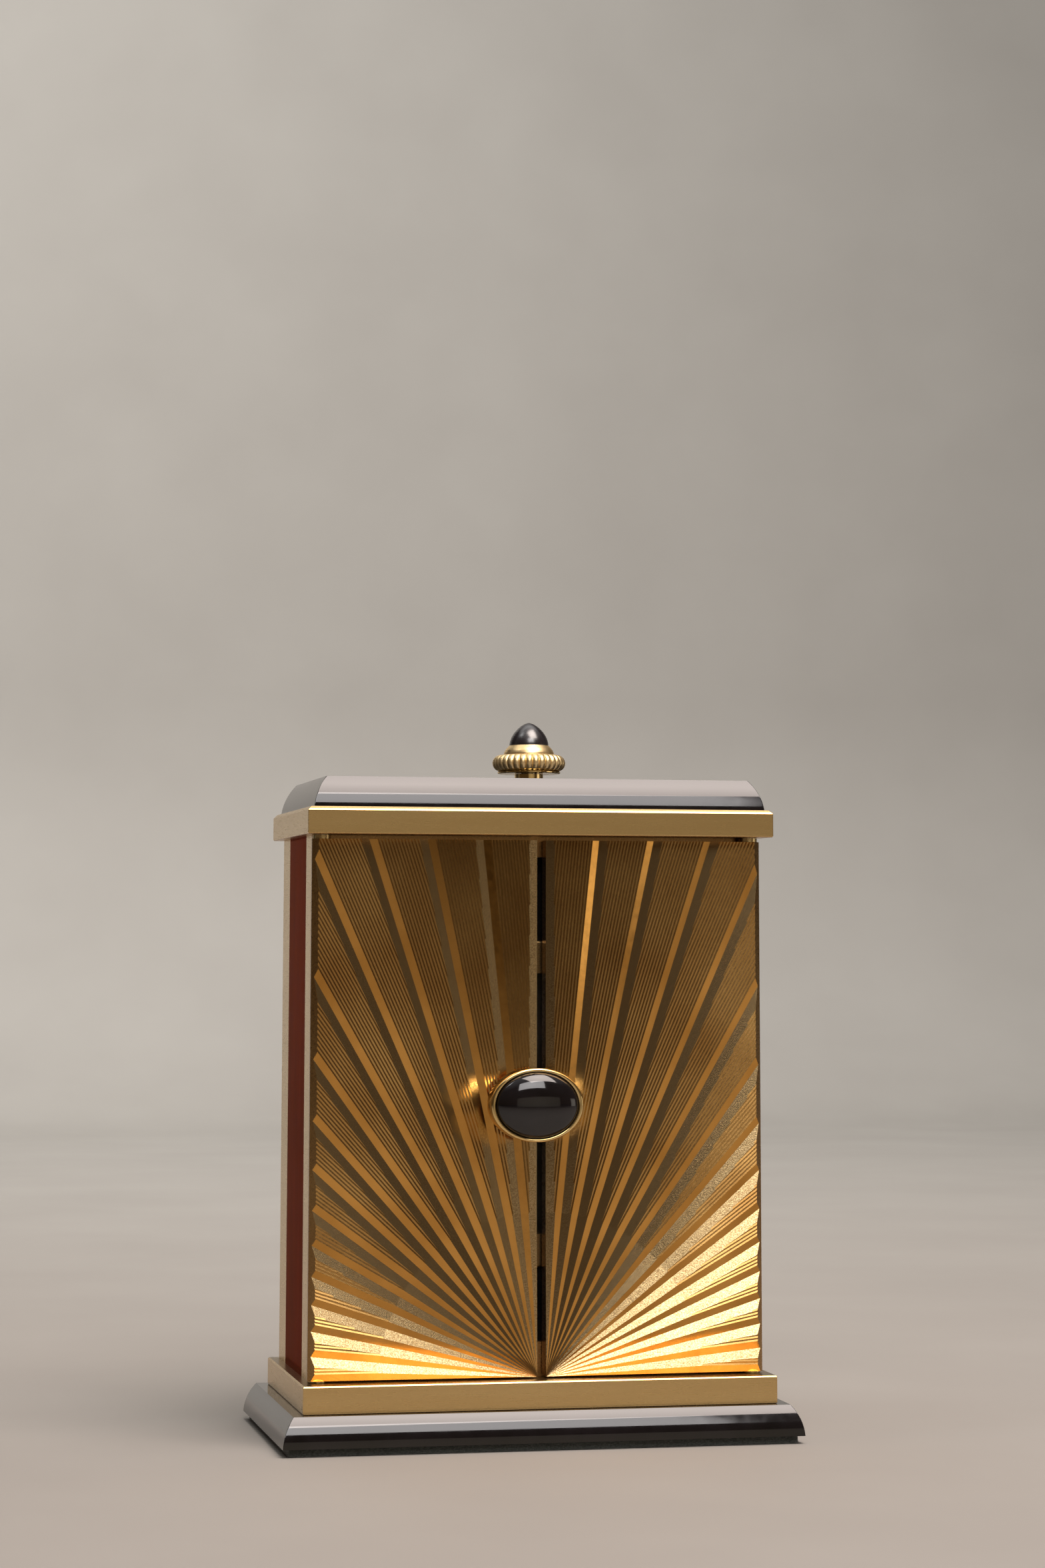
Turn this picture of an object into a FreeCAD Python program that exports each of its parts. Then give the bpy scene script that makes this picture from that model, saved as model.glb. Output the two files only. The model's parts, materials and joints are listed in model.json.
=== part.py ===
import FreeCAD, Part
import os
from math import asin, cos, hypot, pi, radians, sin, sqrt, tan
from FreeCAD import Vector

# Small table clock with two shutter doors, millimetres.
# X runs to the right, Y to the back, Z up; the origin is the middle of the felt's underside.

# Stack of the case, from the table up
felt_thick = 1.0
plinth_high = 3.68
band_high = 3.44
opening_high = 67.24
slab_high = 3.85

# Plans of the mouldings and bands
band_wide = 60.0
band_deep = 32.0
plinth_spread = 2.8
plinth_run = 1.47
felt_inset = 0.7
slab_inset = 0.9
slab_run = 1.75
moulding_bulge = 0.32
slab_arris = 0.25
band_chamfer = 0.45
band_arris = 0.12

# Case between the bands
case_wide = 57.4
back_inset = 1.2
back_recess = 3.4
wall_thick = 2.0
panel_thick = 0.8
panel_front_strip = 4.8
panel_back_strip = 5.9
frame_thick = 1.2
frame_side = 4.0
frame_foot = 4.2
frame_head = 2.6
surround_thick = 1.0
post_side = 3.0
post_gap = 0.9
post_screw_gap = 1.1
back_cover_thick = 1.6

# Doors
door_thick = 2.6
door_setback = 2.6
door_gap = 1.14
door_gap_x = 0.33
door_overhang = 0.3
door_foot_gap = 0.23
door_head_gap = 0.55
door_chamfer = 0.8
door_case_gap = 0.3
door_open = 100.0

# Sunray grooves of the doors
ray_count = 15
ray_depth = 0.46
ray_smooth_wide = 0.92
ray_grained_wide = 1.18
ray_start = 1.5
ray_clear = 0.4

# Hinge pivots, washers and running clearances
pivot_dia = 1.2
pivot_seat = 4.0
pivot_foot = 2.2
washer_dia = 2.3
washer_play = 0.05
run_fit = 0.05

# Door drive in the upper band: crown pinion, sliding yoke and hinge pinions
band_floor = 0.9
gear_module = 0.25
hinge_teeth = 10
crown_teeth = 12
pressure_angle = 25.0
tooth_tip = 0.7
tooth_root = 1.02
backlash = 0.05
gear_thick = 1.5
flank_steps = 4
sector_margin_angle = 36.0
gear_lift = 0.2
rack_margin = 0.6
arm_wide = 1.8
tongue_wide = 1.7
bar_wide = 5.2
bar_setback = 6.1
guide_dia = 1.2
guide_head_dia = 1.9
guide_x = 14.0
pocket_play = 0.15

# Crown
crown_setback = 9.3
bush_dia = 3.7
bush_stand = 0.82
spindle_dia = 2.0
spindle_foot_dia = 1.0
lip_dia = 8.1
lip_thick = 0.3
wheel_dia = 9.4
wheel_high = 2.15
wheel_flutes = 32
wheel_rim = 0.86
flute_dia = 0.62
flute_offset = 0.07
collar_base_dia = 6.5
collar_top_dia = 5.15
collar_high = 1.2
collar_bulge = 0.12
stone_dia = 5.04
stone_high = 2.95
stone_seat = 0.6
stone_waist = 0.81
stone_waist_share = 0.555
stone_nose = 0.36
stone_nose_share = 0.1

# Cabochon on the left door
cabochon_x = -0.9
cabochon_z = 41.8
bezel_wide = 11.8
bezel_high = 9.15
bezel_deep = 2.9
bezel_side_wall = 0.71
bezel_top_wall = 0.5
bezel_round = 0.22
bezel_base = 0.8
bezel_stand = 0.35
dome_rise = 1.55
stud_dia = 2.6
stud_reach = 2.5
stud_seat = 1.6

# Dial and movement
dial_z = 41.8
ring_wide = 4.2
ring_stand = 0.7
ring_round = 0.42
ring_neck_wall = 2.5
crystal_seat = 0.8
crystal_thick = 0.7
spacer_lap = 0.7
spacer_reveal = 0.3
spacer_deep = 2.2
dial_thick = 0.5
marker_long = 3.0
marker_wide = 0.7
marker_thick = 0.15
marker_inset = 1.2
hour_long = 9.2
hour_wide = 1.5
hour_hub_dia = 3.0
minute_long = 13.6
minute_wide = 1.1
minute_hub_dia = 2.4
hand_taper = 0.5
hand_thick = 0.22
hour_plane = 0.45
minute_plane = 1.05
hour_tube_dia = 1.9
hour_tube_reach = 1.0
arbor_dia = 0.9
arbor_play = 0.1
hour_rest_angle = 305.0
minute_rest_angle = 60.0
movement_side = 30.0
movement_deep = 8.0
movement_corner = 4.0
cell_dia = 7.9
cell_thick = 3.6
cell_round = 0.3
cell_drop = 10.5
bracket_thick = 0.8
bracket_high = 9.0
bracket_rise = 2.5
knob_dia = 8.0
knob_thick = 2.2
knob_stand = 0.4
knob_flutes = 20
knob_flute_dia = 0.7
hatch_dia = 11.0
hatch_slot_wide = 1.2
hatch_slot_deep = 0.6

# Screws
screw_dia = 1.4
screw_head_dia = 2.5
screw_head_high = 1.0
screw_slot = 0.35
screw_bite = 4.0
cover_screw_inset = 5.0

# Levels and planes that follow from the sizes
plinth_z = felt_thick
lower_band_z = plinth_z + plinth_high
opening_z = lower_band_z + band_high
upper_band_z = opening_z + opening_high
slab_z = upper_band_z + band_high
slab_top = slab_z + slab_high
plinth_wide = band_wide + 2 * plinth_spread
plinth_deep = band_deep + 2 * plinth_spread
door_z = opening_z + door_foot_gap
door_high = opening_high - door_foot_gap - door_head_gap
case_back = band_deep / 2 - back_inset
crown_y = crown_setback - band_deep / 2
bar_front = crown_y + bar_setback
door_front = door_setback - band_deep / 2
door_back = door_front + door_thick
case_front = door_back + door_case_gap
frame_back = case_front + frame_thick
surround_back = frame_back + surround_thick
panel_front = case_front + panel_front_strip
panel_back = case_back - panel_back_strip
inner_half = case_wide / 2 - wall_thick
cover_back = case_back - back_recess
cover_front = cover_back - back_cover_thick
hinge_r = door_thick / 2
hinge_y = door_front + hinge_r
door_outer = case_wide / 2 + door_overhang
hinge_x = door_outer - hinge_r
ray_full_r = (ray_smooth_wide + ray_grained_wide) / radians(90 / ray_count)
gear_z = upper_band_z + band_floor + gear_lift
hinge_pitch_r = gear_module * hinge_teeth / 2
crown_pitch_r = gear_module * crown_teeth / 2
yoke_travel = hinge_pitch_r * radians(door_open)
arm_pitch_x = hinge_x - hinge_pitch_r
root_line = gear_module * tooth_root
tip_line = gear_module * tooth_tip
dial_front = surround_back + spacer_deep
dial_back = dial_front + dial_thick
movement_back = dial_back + movement_deep
arbor_bore = arbor_dia + 2 * arbor_play
tube_bore = hour_tube_dia + 2 * arbor_play
arm_pocket_x = arm_pitch_x - root_line - arm_wide - pocket_play
front_post_x = arm_pocket_x - post_screw_gap - screw_head_dia / 2
spacer_dia = 2 * front_post_x - post_side - 2 * post_gap
ring_neck_dia = spacer_dia - 2 * spacer_lap
sight_dia = ring_neck_dia - 2 * ring_neck_wall
ring_dia = sight_dia + 2 * ring_wide
crystal_dia = sight_dia + 2 * crystal_seat
spacer_bore = sight_dia + 2 * spacer_reveal
back_post_front = cover_front - post_side
post_spots = [(sx * x, y) for sx in (-1, 1)
              for x, y in ((front_post_x, surround_back + post_side / 2),
                           (inner_half - post_side / 2, back_post_front + post_side / 2))]


def save(node, shape):
    """Write one piece to a STEP file."""
    shape.exportStep("parts/" + node + ".step")


def box(x0, x1, y0, y1, z0, z1):
    return Part.makeBox(x1 - x0, y1 - y0, z1 - z0, Vector(x0, y0, z0))


def plate(wide, deep, z0, high):
    """Box centred on the case in plan."""
    return box(-wide / 2, wide / 2, -deep / 2, deep / 2, z0, z0 + high)


def rod(dia, x, y, z0, z1):
    """Upright cylinder."""
    return Part.makeCylinder(dia / 2, z1 - z0, Vector(x, y, z0))


def disc(dia, y0, y1, x=0.0, z=dial_z):
    """Cylinder that lies along Y."""
    return Part.makeCylinder(dia / 2, y1 - y0, Vector(x, y0, z), Vector(0, 1, 0))


def prism(points, direction):
    """Solid from a closed outline, pushed along a vector."""
    return Part.Face(Part.makePolygon(points + points[:1])).extrude(direction)


def mirror_x(shape):
    return shape.mirror(Vector(0, 0, 0), Vector(1, 0, 0))


def turned(points_and_arcs, x, y, z):
    """Solid of revolution about an upright axis, from edges in the XZ plane."""
    face = Part.Face(Part.Wire(points_and_arcs))
    solid = face.revolve(Vector(0, 0, 0), Vector(0, 0, 1), 360)
    solid.translate(Vector(x, y, z))
    return solid


def line(a, b):
    return Part.makeLine(Vector(a[0], 0, a[1]), Vector(b[0], 0, b[1]))


def arc(a, m, b):
    return Part.Arc(Vector(a[0], 0, a[1]), Vector(m[0], 0, m[1]), Vector(b[0], 0, b[1])).toShape()


def spaced(count):
    return [360.0 * k / count for k in range(count)]


def fluted(solid, count, dia, pitch_r, z0, z1, axis_x, axis_y):
    """Cut upright flutes round a wheel."""
    cutters = []
    for angle in spaced(count):
        x = axis_x + pitch_r * cos(radians(angle))
        y = axis_y + pitch_r * sin(radians(angle))
        cutters.append(rod(dia, x, y, z0, z1))
    return solid.cut(cutters)


# Mouldings and bands
def moulded_profile(half, run, high):
    """Trapezium section with bulging flanks, as edges in the XZ plane."""
    length = hypot(run, high)
    mid_x = half - run / 2 + moulding_bulge * high / length
    mid_z = high / 2 + moulding_bulge * run / length
    right = arc((half, 0), (mid_x, mid_z), (half - run, high))
    left = arc((run - half, high), (-mid_x, mid_z), (-half, 0))
    return Part.Wire([line((-half, 0), (half, 0)), right, line((half - run, high), (run - half, high)), left])


def moulding(wide, deep, run, high, z0):
    """Block whose four convex flanks meet in mitre lines."""
    along = Part.Face(moulded_profile(wide / 2, run, high)).extrude(Vector(0, deep, 0))
    along.translate(Vector(0, -deep / 2, 0))
    across = Part.Face(moulded_profile(deep / 2, run, high)).extrude(Vector(0, wide, 0))
    across.translate(Vector(0, -wide / 2, 0))
    across.rotate(Vector(0, 0, 0), Vector(0, 0, 1), 90)
    solid = along.common(across)
    solid.translate(Vector(0, 0, z0))
    return solid


def edges_at(solid, z):
    """Straight outline edges that lie flat at one level."""
    found = []
    for edge in solid.Edges:
        bounds = edge.BoundBox
        if abs(bounds.ZMin - z) < 1e-6 and abs(bounds.ZMax - z) < 1e-6:
            found.append(edge)
    return found


def band(z0):
    """Flat bar with a bright chamfer above and a fine arris below."""
    solid = plate(band_wide, band_deep, z0, band_high)
    solid = solid.makeChamfer(band_chamfer, edges_at(solid, z0 + band_high))
    return solid.makeChamfer(band_arris, edges_at(solid, z0))


def screw_holes(z_head, z_tip):
    """Counterbored holes for the screws into the posts; the head lies at z_head."""
    step = screw_head_high if z_tip > z_head else -screw_head_high
    cutters = []
    for x, y in post_spots:
        low, high = sorted((z_head, z_head + step))
        cutters.append(rod(screw_head_dia + 2 * run_fit, x, y, low, high))
        low, high = sorted((z_head + step, z_tip))
        cutters.append(rod(screw_dia + 2 * run_fit, x, y, low, high))
    return cutters


def screw(x, y, z_head, way, bite):
    """Slotted cheese-head screw; way is +1 when its tip points up."""
    low, high = sorted((z_head, z_head + way * screw_head_high))
    head = rod(screw_head_dia, x, y, low, high)
    low, high = sorted((z_head + way * screw_head_high, z_head + way * (screw_head_high + bite)))
    shank = rod(screw_dia, x, y, low, high)
    slot_low, slot_high = sorted((z_head, z_head + way * screw_slot))
    slot = box(x - screw_head_dia, x + screw_head_dia, y - screw_slot / 2, y + screw_slot / 2,
               slot_low, slot_high)
    return head.fuse(shank).cut(slot).removeSplitter()


def felt_pad():
    return plate(plinth_wide - 2 * felt_inset, plinth_deep - 2 * felt_inset, 0, felt_thick)


def plinth():
    solid = moulding(plinth_wide, plinth_deep, plinth_run, plinth_high, plinth_z)
    return solid.cut(screw_holes(plinth_z, opening_z))


def lower_band():
    solid = band(lower_band_z)
    cutters = [rod(screw_dia + 2 * run_fit, x, y, lower_band_z, opening_z) for x, y in post_spots]
    for side in (-1, 1):
        cutters.append(rod(pivot_dia + 2 * run_fit, side * hinge_x, hinge_y,
                           opening_z - pivot_foot - run_fit, opening_z))
    return solid.cut(cutters)


def drive_pocket():
    """Room milled in the upper band for the yoke, its travel and the three pinions."""
    z0 = upper_band_z + band_floor
    z1 = slab_z
    front = hinge_y - rack_margin - yoke_travel - pocket_play
    bar_back = bar_front + bar_wide + pocket_play
    outer = arm_pitch_x + tip_line + pocket_play
    room = [box(-outer, outer, bar_front - yoke_travel - pocket_play, bar_back, z0, z1)]
    for side in (-1, 1):
        x0, x1 = sorted((side * arm_pocket_x, side * outer))
        room.append(box(x0, x1, front, bar_back, z0, z1))
        well = rod(2 * (hinge_pitch_r + tip_line + pocket_play), side * hinge_x, hinge_y, z0, z1)
        reach = hinge_x + hinge_pitch_r - root_line + pocket_play
        room.append(well.common(plate(2 * reach, band_deep, z0, z1 - z0)))
    tongue_left = -crown_pitch_r - root_line - tongue_wide - pocket_play
    room.append(box(tongue_left, 0, crown_y - rack_margin - yoke_travel - pocket_play, bar_back, z0, z1))
    room.append(rod(2 * (crown_pitch_r + tip_line + pocket_play), 0, crown_y, z0, z1))
    return room


def upper_band():
    solid = band(upper_band_z)
    cutters = drive_pocket() + screw_holes(slab_z, upper_band_z)
    floor_top = upper_band_z + band_floor
    for side in (-1, 1):
        cutters.append(rod(pivot_dia + 2 * run_fit, side * hinge_x, hinge_y, upper_band_z, floor_top))
        cutters.append(rod(guide_dia, side * guide_x, guide_y(), upper_band_z, floor_top))
    cutters.append(rod(spindle_foot_dia + 2 * run_fit, 0, crown_y, upper_band_z, floor_top))
    return solid.cut(cutters)


def top_slab():
    wide, deep = band_wide - 2 * slab_inset, band_deep - 2 * slab_inset
    solid = moulding(wide, deep, slab_run, slab_high, slab_z)
    solid = solid.makeFillet(slab_arris, edges_at(solid, slab_top))
    return solid.cut(rod(bush_dia, 0, crown_y, slab_z, slab_top))


# Case shell
def side_wall(side):
    """Wall rebated outside for its lacquer panel."""
    outer = case_wide / 2
    solid = box(outer - wall_thick, outer, case_front, case_back, opening_z, upper_band_z)
    solid = solid.cut(box(outer - panel_thick, outer, panel_front, panel_back, opening_z, upper_band_z))
    return solid if side > 0 else mirror_x(solid)


def lacquer_panel(side):
    outer = case_wide / 2
    solid = box(outer - panel_thick, outer, panel_front, panel_back, opening_z, upper_band_z)
    return solid if side > 0 else mirror_x(solid)


def front_frame():
    solid = box(-inner_half, inner_half, case_front, frame_back, opening_z, upper_band_z)
    return solid.cut(box(frame_side - inner_half, inner_half - frame_side, case_front, frame_back,
                         opening_z + frame_foot, upper_band_z - frame_head))


def dial_surround():
    solid = box(-inner_half, inner_half, frame_back, surround_back, opening_z, upper_band_z)
    return solid.cut(disc(ring_neck_dia, frame_back, surround_back))


def corner_posts():
    posts = []
    half = post_side / 2
    for x, y in post_spots:
        post = box(x - half, x + half, y - half, y + half, opening_z, upper_band_z)
        posts.append(post.cut([rod(screw_dia, x, y, opening_z, opening_z + screw_bite),
                               rod(screw_dia, x, y, upper_band_z - screw_bite, upper_band_z)]))
    return Part.makeCompound(posts)


def base_screws():
    reach = opening_z - plinth_z - screw_head_high + screw_bite - run_fit
    return Part.makeCompound([screw(x, y, plinth_z, 1, reach) for x, y in post_spots])


def top_screws():
    reach = band_high - screw_head_high + screw_bite - run_fit
    return Part.makeCompound([screw(x, y, slab_z, -1, reach) for x, y in post_spots])


def cover_screw_spots():
    x = inner_half - post_side / 2
    return [(side * x, z) for side in (-1, 1)
            for z in (opening_z + cover_screw_inset, upper_band_z - cover_screw_inset)]


def cover_screw(x, z):
    """Slotted screw with its head let into the back cover."""
    head = disc(screw_head_dia, cover_back - screw_head_high, cover_back, x, z)
    slot = box(x - screw_head_dia, x + screw_head_dia, cover_back - screw_slot, cover_back,
               z - screw_slot / 2, z + screw_slot / 2)
    shank = disc(screw_dia, cover_front + run_fit, cover_back - screw_head_high, x, z)
    return head.fuse(shank).cut(slot).removeSplitter()


def back_cover():
    solid = box(-inner_half, inner_half, cover_front, cover_back, opening_z, upper_band_z)
    cutters = [disc(arbor_bore, cover_front, cover_back),
               disc(hatch_dia, cover_front, cover_back, 0, dial_z - cell_drop)]
    for x, z in cover_screw_spots():
        cutters.append(disc(screw_head_dia + 2 * run_fit, cover_back - screw_head_high, cover_back, x, z))
        cutters.append(disc(screw_dia + 2 * run_fit, cover_front, cover_back, x, z))
    return solid.cut(cutters)


def back_cover_screws():
    return Part.makeCompound([cover_screw(x, z) for x, z in cover_screw_spots()])


def battery_hatch():
    """Round cover in line with the cell, with a slot for a coin."""
    z = dial_z - cell_drop
    solid = disc(hatch_dia - 2 * run_fit, cover_front, cover_back, 0, z)
    half = hatch_dia / 2 - hatch_slot_wide
    return solid.cut(box(-half, half, cover_back - hatch_slot_deep, cover_back,
                         z - hatch_slot_wide / 2, z + hatch_slot_wide / 2))


# Doors, shaped as left ones; the right one is turned into its mirror image
def inner_edge(side):
    """Distance of a door's free edge from the case's middle plane."""
    return door_gap / 2 + side * door_gap_x


def door_blank(inner):
    """Plate with a chamfered front corner and a round back corner at its outer edge."""
    z = door_z
    middle = cos(radians(45))
    corner = [Vector(-door_outer, door_front + door_chamfer, z),
              Vector(door_chamfer - door_outer, door_front, z),
              Vector(-inner, door_front, z), Vector(-inner, door_back, z), Vector(-hinge_x, door_back, z)]
    side = Vector(-door_outer, hinge_y, z)
    bend = Vector(-hinge_x - hinge_r * middle, hinge_y + hinge_r * middle, z)
    edges = [Part.makeLine(a, b) for a, b in zip(corner, corner[1:])]
    edges.append(Part.Arc(corner[-1], bend, side).toShape())
    edges.append(Part.makeLine(side, corner[0]))
    return Part.Face(Part.Wire(edges)).extrude(Vector(0, 0, door_high))


def ray_section(inner, angle, r):
    """Triangle across one ray: valley behind the door's front, flanks out past the crests beside it."""
    along = Vector(-cos(radians(angle)), 0, sin(radians(angle)))
    across = Vector(sin(radians(angle)), 0, cos(radians(angle)))
    share = min(r / ray_full_r, 1)
    depth = ray_depth * share
    spread = share * (depth + ray_clear) / depth
    middle = Vector(-inner, door_front, door_z) + along * r
    valley = middle + Vector(0, depth, 0)
    crest = middle - Vector(0, ray_clear, 0)
    return Part.makePolygon([valley, crest + across * (ray_smooth_wide * spread),
                             crest - across * (ray_grained_wide * spread), valley])


def ray_cutter(inner, angle):
    """V groove along one ray: it widens from the apex at the door's inner foot, then keeps its section."""
    reach = hypot(door_outer, door_high)
    sections = [ray_section(inner, angle, r) for r in (ray_start, ray_full_r, reach)]
    return Part.makeLoft(sections, True, True)


def door_panel(side):
    """Door plate with its sunray grooves, the pivots' bores and, on the left one, the cabochon's bore."""
    inner = inner_edge(side)
    solid = door_blank(inner)
    for k in range(ray_count + 1):
        solid = solid.cut(ray_cutter(inner, 90.0 * k / ray_count))
    top = door_z + door_high
    solid = solid.cut([rod(pivot_dia, -hinge_x, hinge_y, door_z, door_z + pivot_seat),
                       rod(pivot_dia, -hinge_x, hinge_y, top - pivot_seat, top)])
    if side > 0:
        return mirror_x(solid)
    return solid.cut(disc(stud_dia, door_front, door_front + stud_seat, cabochon_x - stud_reach, cabochon_z))


def lower_pivot(side):
    return rod(pivot_dia, side * hinge_x, hinge_y, opening_z - pivot_foot, door_z + pivot_seat)


def upper_pivot(side):
    return rod(pivot_dia, side * hinge_x, hinge_y, door_z + door_high - pivot_seat, gear_z + gear_thick)


def hinge_washers(side):
    """The washers above and below one door, let onto its pivots."""
    top = door_z + door_high
    x = side * hinge_x
    rings = []
    for z0, z1 in ((opening_z + washer_play, door_z), (top, upper_band_z - washer_play)):
        rings.append(rod(washer_dia, x, hinge_y, z0, z1).cut(rod(pivot_dia, x, hinge_y, z0, z1)))
    return Part.makeCompound(rings)


# Toothed parts of the door drive
def involute_point(base_r, roll, offset):
    """Point of the involute of the base circle, turned by offset radians."""
    angle = offset + roll
    return (base_r * (cos(angle) + roll * sin(angle)), base_r * (sin(angle) - roll * cos(angle)))


def gear(teeth, bore, phase, first, last):
    """Pinion at the origin, toothed from first to last degrees, with a tooth space at phase degrees."""
    pitch_r = gear_module * teeth / 2
    base_r = pitch_r * cos(radians(pressure_angle))
    tip_r = pitch_r + tip_line
    root_r = pitch_r - root_line
    involute = tan(radians(pressure_angle)) - radians(pressure_angle)
    start = -(pi * gear_module / 2 - backlash) / 2 / pitch_r - involute
    first_roll = sqrt(max((root_r / base_r) ** 2 - 1, 0))
    last_roll = sqrt((tip_r / base_r) ** 2 - 1)
    rolls = [first_roll + (last_roll - first_roll) * k / flank_steps for k in range(flank_steps + 1)]
    outline = []
    for tooth in range(teeth):
        degrees_mid = phase + 360.0 * (tooth + 0.5) / teeth
        flank = [(root_r * cos(start), root_r * sin(start))]
        if (degrees_mid - first) % 360 <= last - first:
            flank += [involute_point(base_r, roll, start) for roll in rolls
                      if hypot(1, roll) * base_r > root_r]
        flank += [(x, -y) for x, y in reversed(flank)]
        middle = radians(degrees_mid)
        for x, y in flank:
            outline.append(Vector(x * cos(middle) - y * sin(middle), x * sin(middle) + y * cos(middle), 0))
    solid = prism(outline, Vector(0, 0, gear_thick))
    return solid.cut(rod(bore, 0, 0, 0, gear_thick)) if bore else solid


def rack_teeth(x_pitch, facing, y_contact, y0, y1, z0):
    """Rack teeth along Y whose tips face +X or -X; a tooth stands at y_contact."""
    pitch = pi * gear_module
    lean = tan(radians(pressure_angle))
    half = (pitch / 2 - backlash) / 2
    tip_x = x_pitch + facing * tip_line
    root_x = x_pitch - facing * root_line
    below = int((y_contact - y0) / pitch)
    above = int((y1 - y_contact) / pitch)
    teeth = []
    for k in range(-below, above + 1):
        y = y_contact + k * pitch
        root_half = half + root_line * lean
        tip_half = half - tip_line * lean
        teeth.append(prism([Vector(root_x, y - root_half, z0), Vector(tip_x, y - tip_half, z0),
                            Vector(tip_x, y + tip_half, z0), Vector(root_x, y + root_half, z0)],
                           Vector(0, 0, gear_thick)))
    return teeth


def guide_y():
    """Guide pins stand at the front end of the yoke's slots when the doors are shut."""
    spare = bar_wide - yoke_travel - guide_dia
    return bar_front + spare / 2 + guide_dia / 2


def door_yoke():
    """Sliding plate: a cross bar, an arm to each hinge pinion and a tongue to the crown pinion."""
    z0, z1 = gear_z, gear_z + gear_thick
    bar_back = bar_front + bar_wide
    arm_outer = arm_pitch_x - root_line
    solid = box(-arm_outer, arm_outer, bar_front, bar_back, z0, z1)
    pieces = []
    for side in (-1, 1):
        x0, x1 = sorted((side * (arm_outer - arm_wide), side * arm_outer))
        pieces.append(box(x0, x1, hinge_y - rack_margin, bar_front, z0, z1))
        pieces += rack_teeth(side * arm_pitch_x, side, hinge_y, hinge_y - rack_margin,
                             hinge_y + yoke_travel + rack_margin, z0)
    tongue_right = -crown_pitch_r - root_line
    pieces.append(box(tongue_right - tongue_wide, tongue_right, crown_y - rack_margin, bar_front, z0, z1))
    pieces += rack_teeth(-crown_pitch_r, 1, crown_y, crown_y - rack_margin,
                         crown_y + yoke_travel + rack_margin, z0)
    solid = solid.fuse(pieces).removeSplitter()
    for side in (-1, 1):
        slot = box(side * guide_x - guide_dia / 2 - run_fit, side * guide_x + guide_dia / 2 + run_fit,
                   guide_y(), guide_y() + yoke_travel, z0, z1)
        ends = [rod(guide_dia + 2 * run_fit, side * guide_x, guide_y() + y, z0, z1) for y in (0, yoke_travel)]
        solid = solid.cut([slot] + ends)
    return solid


def guide_pins():
    """Headed pins that stand in the band's floor and hold the yoke down."""
    pins = []
    for side in (-1, 1):
        shank = rod(guide_dia, side * guide_x, guide_y(), upper_band_z, gear_z + gear_thick + run_fit)
        head = rod(guide_head_dia, side * guide_x, guide_y(), gear_z + gear_thick + run_fit, slab_z - run_fit)
        pins.append(shank.fuse(head).removeSplitter())
    return Part.makeCompound(pins)


def hinge_pinion(side):
    """Sector pinion on one upper pivot, toothed only where it meets the yoke's arm."""
    solid = gear(hinge_teeth, pivot_dia, 0, -sector_margin_angle, door_open + sector_margin_angle)
    solid.translate(Vector(-hinge_x, hinge_y, gear_z))
    return mirror_x(solid) if side > 0 else solid


# Crown
def crown_levels():
    lip = slab_top + bush_stand + run_fit
    wheel = lip + lip_thick
    collar = wheel + wheel_high
    stone = collar + collar_high
    return lip, wheel, collar, stone


def crown_bush():
    return rod(bush_dia, 0, crown_y, slab_z, slab_top + bush_stand).cut(
        rod(spindle_dia + 2 * run_fit, 0, crown_y, slab_z, slab_top + bush_stand))


def crown_spindle():
    """Shaft with the drive pinion cut on it and a small foot pivot."""
    lip, wheel, collar, stone = crown_levels()
    shaft = rod(spindle_dia, 0, crown_y, gear_z + gear_thick, collar)
    foot = rod(spindle_foot_dia, 0, crown_y, upper_band_z + run_fit, gear_z)
    pinion = gear(crown_teeth, 0, 180, 0, 360)
    pinion.translate(Vector(0, crown_y, gear_z))
    return pinion.fuse([shaft, foot]).removeSplitter()


def crown_lip():
    lip, wheel, collar, stone = crown_levels()
    return rod(lip_dia, 0, crown_y, lip, wheel).cut(rod(spindle_dia, 0, crown_y, lip, wheel))


def crown_wheel():
    """Fluted grip ring with a rounded rim."""
    lip, wheel, collar, stone = crown_levels()
    r = wheel_dia / 2
    mid = wheel_high / 2
    shoulder = r - wheel_rim
    bore = spindle_dia / 2
    rim = arc((shoulder, 0), (r, mid), (shoulder, wheel_high))
    solid = turned([line((bore, 0), (shoulder, 0)), rim, line((shoulder, wheel_high), (bore, wheel_high)),
                    line((bore, wheel_high), (bore, 0))], 0, crown_y, wheel)
    return fluted(solid, wheel_flutes, flute_dia, r + flute_offset, wheel, collar, 0, crown_y)


def crown_collar():
    lip, wheel, collar, stone = crown_levels()
    low, high, seat = collar_base_dia / 2, collar_top_dia / 2, stone_dia / 2
    flank = arc((low, 0), ((low + high) / 2 + collar_bulge, collar_high / 2), (high, collar_high))
    floor = collar_high - stone_seat
    return turned([line((0, 0), (low, 0)), flank, line((high, collar_high), (seat, collar_high)),
                   line((seat, collar_high), (seat, floor)), line((seat, floor), (0, floor)),
                   line((0, floor), (0, 0))], 0, crown_y, collar)


def crown_stone():
    """Bullet cabochon with a short straight girdle in its seat and a round nose."""
    lip, wheel, collar, stone = crown_levels()
    r, top = stone_dia / 2, stone_seat + stone_high
    nose_r, nose_z = r * stone_nose, top - stone_high * stone_nose_share
    nose_drop = top - nose_z
    ball = (nose_r ** 2 + nose_drop ** 2) / 2 / nose_drop
    half_turn = asin(nose_r / ball) / 2
    waist = (r * stone_waist, stone_seat + stone_high * stone_waist_share)
    flank = arc((r, stone_seat), waist, (nose_r, nose_z))
    nose = arc((nose_r, nose_z), (ball * sin(half_turn), top - ball * (1 - cos(half_turn))), (0, top))
    return turned([line((0, 0), (r, 0)), line((r, 0), (r, stone_seat)), flank, nose,
                   line((0, top), (0, 0))], 0, crown_y, stone - stone_seat)


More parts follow.
